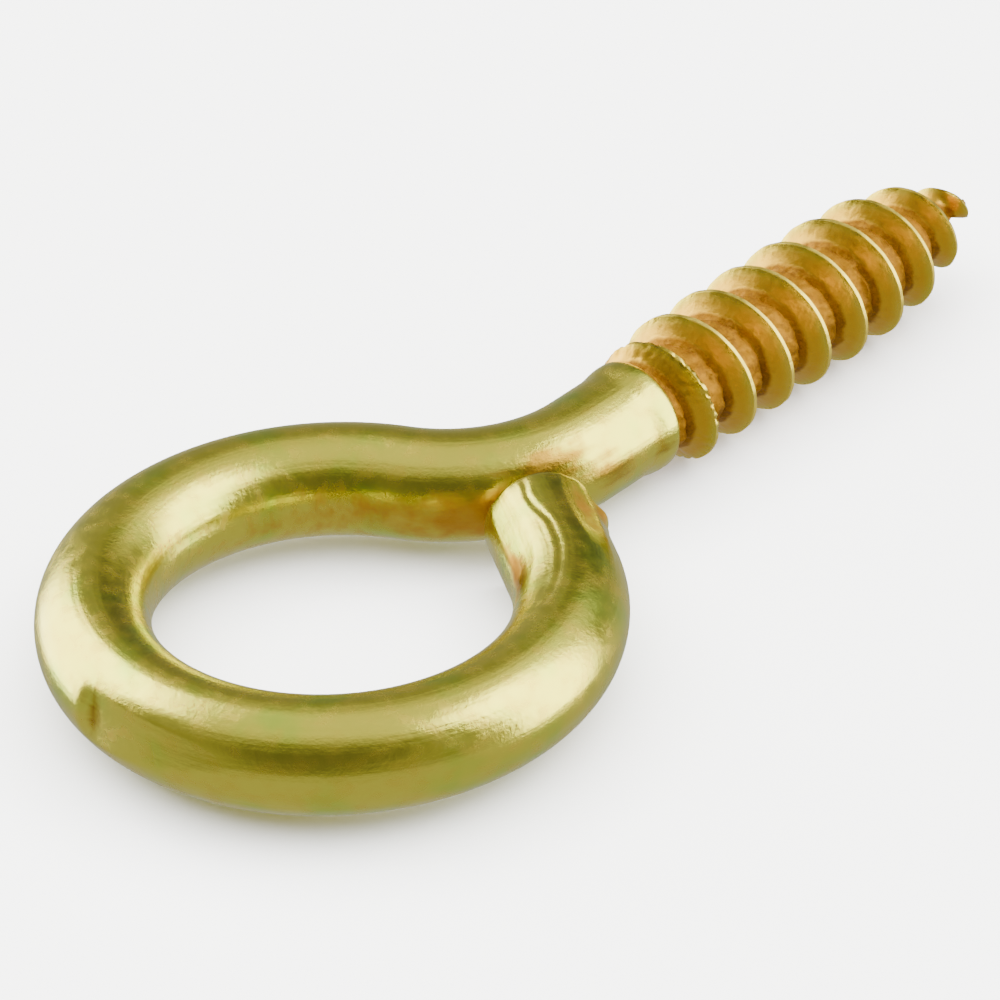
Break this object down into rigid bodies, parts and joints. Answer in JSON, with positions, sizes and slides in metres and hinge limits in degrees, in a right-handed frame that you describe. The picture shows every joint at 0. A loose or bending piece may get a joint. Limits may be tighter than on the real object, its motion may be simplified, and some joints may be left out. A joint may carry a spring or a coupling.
{
  "type": "screw eye",
  "caption": "Screw eye bent from round brassed wire: a round eye on a reverse-bent neck, a short plain shank, and a coarse right-hand wood thread tapering to a gimlet point.",
  "frame": {"origin": "middle of the eye, on the middle plane of the wire", "axes": "+X along the shank's axis from the eye to the point, +Z square to the plane of the eye, +Y to the side that the neck bends out to, so the wire's cut end is on the -Y side; the part lies flat with the eye in the XY plane"},
  "size_m": [0.045, 0.0202, 0.0052],
  "materials": {
    "brassed_wire": "bright drawn wire with a thin greenish-yellow brass finish, fine bending marks, rough matt roots in the thread"
  },
  "bodies": {
    "root": {"screw_eye": "brassed_wire"}
  },
  "joints": []
}
